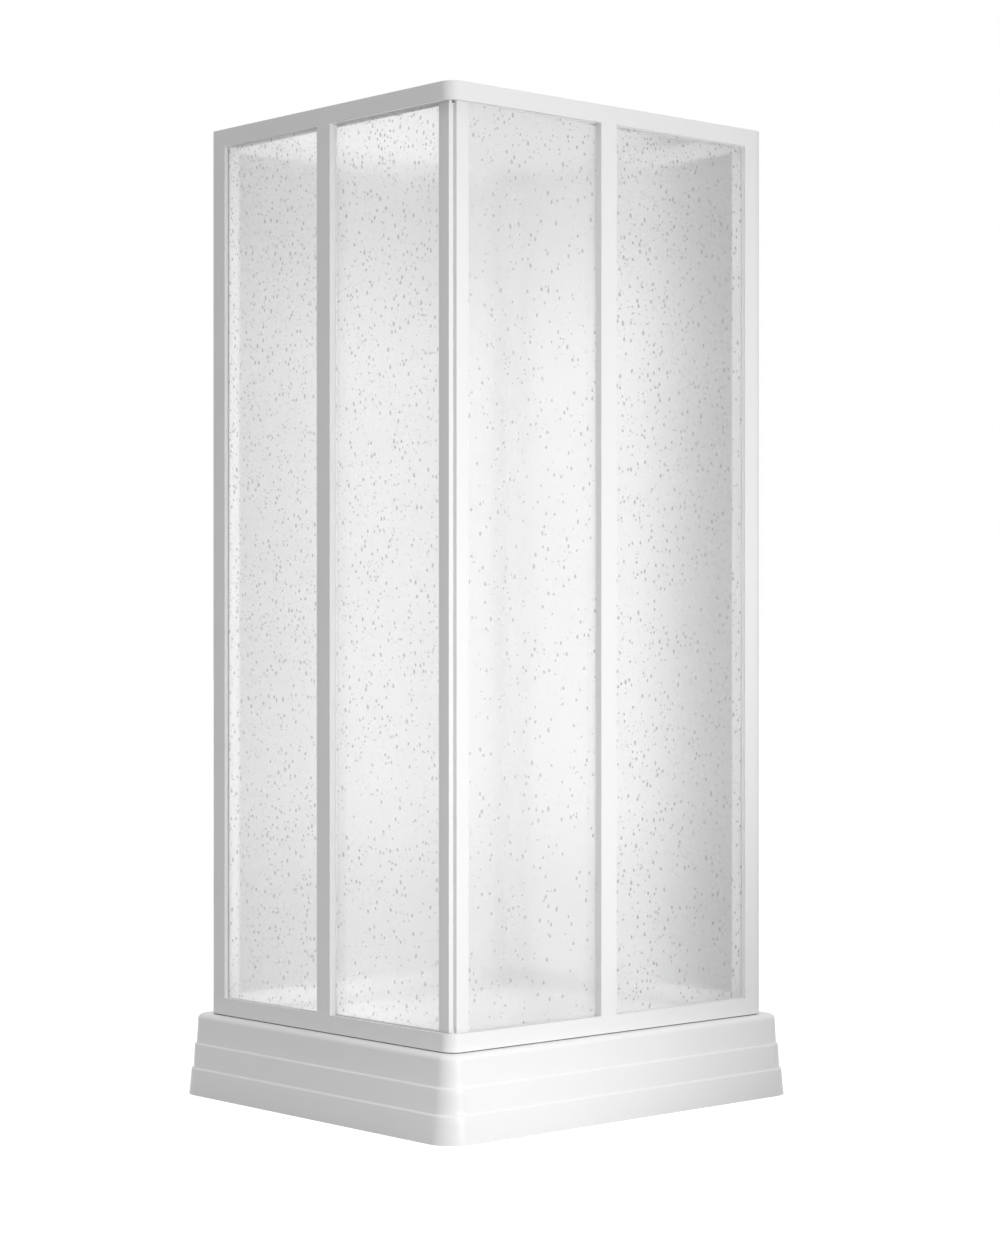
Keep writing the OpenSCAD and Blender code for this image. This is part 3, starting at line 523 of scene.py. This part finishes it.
floor_material = bpy.data.materials.new("White floor")
floor_material.use_nodes = True
floor_tree = floor_material.node_tree
paper = floor_tree.nodes["Principled BSDF"]
paper.inputs["Base Color"].default_value = (0.5, 0.5, 0.5, 1)
paper.inputs["Roughness"].default_value = 1.0
paper.inputs["Specular IOR Level"].default_value = 0.0
paper.inputs["Emission Color"].default_value = (1, 1, 1, 1)
glow = add(floor_tree, "ShaderNodeMath", operation="MULTIPLY")
glow.inputs[1].default_value = FLOOR_GLOW
link(floor_tree, seen_directly(floor_tree), glow.inputs[0])
link(floor_tree, glow.outputs[0], paper.inputs["Emission Strength"])

FLOOR_HALF = 40
floor_mesh = bpy.data.meshes.new("Floor")
floor_mesh.from_pydata([(x * FLOOR_HALF, y * FLOOR_HALF, 0) for x, y in ((-1, -1), (1, -1), (1, 1), (-1, 1))],
                       [], [(0, 1, 2, 3)])
floor_mesh.materials.append(floor_material)
floor = bpy.data.objects.new("Floor", floor_mesh)
bpy.context.scene.collection.objects.link(floor)


# %% [markdown]
# Lamps and panels shape the light. A tall soft light stands before the right-hand face, near the corner, and only
# grazes the left-hand face, which is what separates the two faces of a white object. A weak light inside the cabin
# lights the tray and the far sides. Two flags only cast shadows: one keeps the tall light off the lower right end,
# and one hangs behind the fixed right-hand sheet, so that less of it reaches the inside there. Two glowing panels
# stand behind the far sides and are seen through the sheets alone. Their glow is painted shade, graded so that the
# sheets look greyer towards the top, the foot, the left and the right. All this is tuned for the photograph's
# viewpoint. Places are in metres.

# %% Lamps, flags and glowing panels with painted shade
def soft_light(name, place, target, size, power, seen_in_gloss=True):
    data = bpy.data.lights.new(name, "AREA")
    data.shape = "RECTANGLE"
    data.size, data.size_y = size
    data.energy = power
    lamp = bpy.data.objects.new(name, data)
    lamp.location = place
    lamp.rotation_euler = (Vector(target) - Vector(place)).to_track_quat("-Z", "Y").to_euler()
    lamp.visible_camera = False
    lamp.visible_transmission = False
    lamp.visible_glossy = seen_in_gloss
    bpy.context.scene.collection.objects.link(lamp)


def panel(name, corners, seen_by, material=None):
    """A flat staged panel that only the named kind of ray meets."""
    mesh = bpy.data.meshes.new(name)
    mesh.from_pydata(corners, [], [tuple(range(len(corners)))])
    if material:
        mesh.materials.append(material)
    piece = bpy.data.objects.new(name, mesh)
    for ray in ("camera", "diffuse", "glossy", "transmission", "shadow"):
        setattr(piece, "visible_" + ray, ray == seen_by)
    bpy.context.scene.collection.objects.link(piece)


def painted_shade_glow(name, ramps):
    """Glows with painted shade, the product of its ramps: an axis, two places on it in metres, and the glow at each.
    """
    material = bpy.data.materials.new(name)
    material.use_nodes = True
    tree = material.node_tree
    shader = tree.nodes["Principled BSDF"]
    shader.inputs["Base Color"].default_value = (0, 0, 0, 1)
    shader.inputs["Specular IOR Level"].default_value = 0.0
    shader.inputs["Emission Strength"].default_value = 1.0
    place = add(tree, "ShaderNodeTexCoord")
    parts = add(tree, "ShaderNodeSeparateXYZ")
    link(tree, place.outputs["Object"], parts.inputs[0])
    product = None
    for axis, start, end, glow_at_start, glow_at_end in ramps:
        ramp = add(tree, "ShaderNodeMapRange", interpolation_type="SMOOTHSTEP", **{
            "From Min": start, "From Max": end, "To Min": glow_at_start, "To Max": glow_at_end})
        link(tree, parts.outputs[axis], ramp.inputs["Value"])
        if product is None:
            product = ramp.outputs["Result"]
        else:
            both = add(tree, "ShaderNodeMath", operation="MULTIPLY")
            link(tree, product, both.inputs[0])
            link(tree, ramp.outputs["Result"], both.inputs[1])
            product = both.outputs[0]
    link(tree, product, shader.inputs["Emission Color"])
    return material


soft_light("Key", place=(-0.55, -2.7, 0.95), target=(-0.25, -0.39, 0.95), size=(0.9, 1.7), power=40)
soft_light("Cabin light", place=(0.0, -0.28, 1.05), target=(0.0, 0.5, 1.05), size=(0.6, 1.6), power=5,
           seen_in_gloss=False)

FLAG_Y = -1.4
panel("Low flag", [(-0.25, FLAG_Y, 0), (1.0, FLAG_Y, 0), (1.0, FLAG_Y, 1.3), (0.45, FLAG_Y, 1.3)], "shadow")
FLAG_GAP_MM = 3
sheet_low, sheet_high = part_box("fixed_panel_right")
behind = sheet_high.y + FLAG_GAP_MM * MM
panel("Inner flag", [(sheet_low.x, behind, sheet_low.z), (sheet_high.x, behind, sheet_low.z),
                     (sheet_high.x, behind, sheet_high.z), (sheet_low.x, behind, sheet_high.z)], "shadow")

GLOW_PANEL_X = 0.72
GLOW_PANEL_Y = 0.70
GLOW_PANEL_TOP = 2.8
NOTCH_X = 0.5
NOTCH_Z = 2.05
LEFT_END = -0.7
RIGHT_END = -0.9
# Painted shade: the panels glow less towards the top and the foot, the left panel towards its left end, the right
# panel towards the front.
painted_shade_by_height = [("Z", 1.55, 2.05, 1.0, 0.72), ("Z", 0.30, 0.65, 0.84, 1.0)]
panel("Left glow panel with painted shade", [(LEFT_END, GLOW_PANEL_Y, 0), (GLOW_PANEL_X, GLOW_PANEL_Y, 0), (GLOW_PANEL_X, GLOW_PANEL_Y, GLOW_PANEL_TOP),
                     (NOTCH_X, GLOW_PANEL_Y, GLOW_PANEL_TOP), (NOTCH_X, GLOW_PANEL_Y, NOTCH_Z), (LEFT_END, GLOW_PANEL_Y, NOTCH_Z)],
      "transmission", painted_shade_glow("Left glow panel with painted shade", painted_shade_by_height + [("X", -0.15, 0.28, 0.70, 0.97)]))
panel("Right glow panel with painted shade", [(GLOW_PANEL_X, GLOW_PANEL_Y, 0), (GLOW_PANEL_X, RIGHT_END, 0), (GLOW_PANEL_X, RIGHT_END, GLOW_PANEL_TOP),
                      (GLOW_PANEL_X, GLOW_PANEL_Y, GLOW_PANEL_TOP)], "transmission",
      painted_shade_glow("Right glow panel with painted shade", painted_shade_by_height + [("Y", 0.04, 0.36, 0.36, 0.97)]))
print("studio ready")
